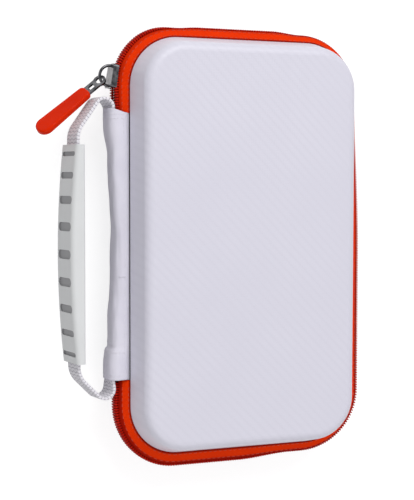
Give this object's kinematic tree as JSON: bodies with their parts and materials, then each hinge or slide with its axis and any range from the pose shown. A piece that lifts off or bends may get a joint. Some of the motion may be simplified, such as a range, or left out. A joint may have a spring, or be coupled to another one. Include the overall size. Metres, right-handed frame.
{
  "type": "portable game console case",
  "caption": "Zip-round moulded hard-shell case for a handheld game console, with a fabric spine, a webbing carry handle with a moulded grip, and a net pocket inside.",
  "frame": {"origin": "centre of the back shell's flat resting face", "axes": "+Z from the back shell to the lid, +Y along the long side towards the end where the slider is parked, -X towards the spine and handle"},
  "size_m": [0.1518, 0.1944, 0.0388],
  "materials": {
    "shell_skin": "satin embossed skin over moulded foam",
    "zip_tape": "woven tape",
    "zip_coil": "satin nylon coil",
    "binding": "grosgrain",
    "elastic": "knitted elastic",
    "mesh": "net",
    "gusset_fabric": "soft plain weave",
    "webbing": "woven webbing",
    "grip_rubber": "matt moulded",
    "slider_metal": "polished gunmetal",
    "tab_rubber": "satin moulded"
  },
  "bodies": {
    "base": {"back_shell": "shell_skin", "back_zip_tape": "zip_tape", "back_zip_coil": "zip_coil", "back_rim_binding": "binding", "console_strap": "elastic"},
    "spine": {"hinge_gusset": "gusset_fabric", "strap_ends": "webbing"},
    "lid": {"front_shell": "shell_skin", "front_zip_tape": "zip_tape", "front_zip_coil": "zip_coil", "front_rim_binding": "binding", "mesh_pocket": "mesh", "pocket_elastic": "elastic"},
    "handle": {"handle_webbing": "webbing", "handle_grip": "grip_rubber"},
    "slider": {"zip_slider": "slider_metal"},
    "pull": {"pull_link": "slider_metal", "pull_tab": "tab_rubber"}
  },
  "joints": [
    {"name": "spine_fold", "type": "hinge", "parent": "base", "child": "spine", "pos_m": [-0.0533, 0, 0.0138], "axis": [0, -1, 0], "range_deg": [0, 52], "deforming": ["back_zip_tape", "back_zip_coil"]},
    {"name": "lid_fold", "type": "hinge", "parent": "spine", "child": "lid", "pos_m": [-0.0533, 0, 0.025], "axis": [0, -1, 0], "range_deg": [0, 52], "deforming": ["front_zip_tape", "front_zip_coil"]},
    {"name": "handle_swing", "type": "hinge", "parent": "spine", "child": "handle", "pos_m": [-0.06055, 0, 0.0194], "axis": [0, 1, 0], "range_deg": [-25, 22]},
    {"name": "slider_run", "type": "hinge", "parent": "spine", "child": "slider", "pos_m": [-0.0312, 0.0692, 0.0194], "axis": [0, 0, 1], "range_deg": [-60, 0]},
    {"name": "pull_swing", "type": "hinge", "parent": "slider", "child": "pull", "pos_m": [-0.06024, 0.0738, 0.0194], "axis": [0, 0, 1], "range_deg": [-85, 1]}
  ],
  "couplings": [
    {"joint": "lid_fold", "follows": "spine_fold", "ratio": 1}
  ]
}
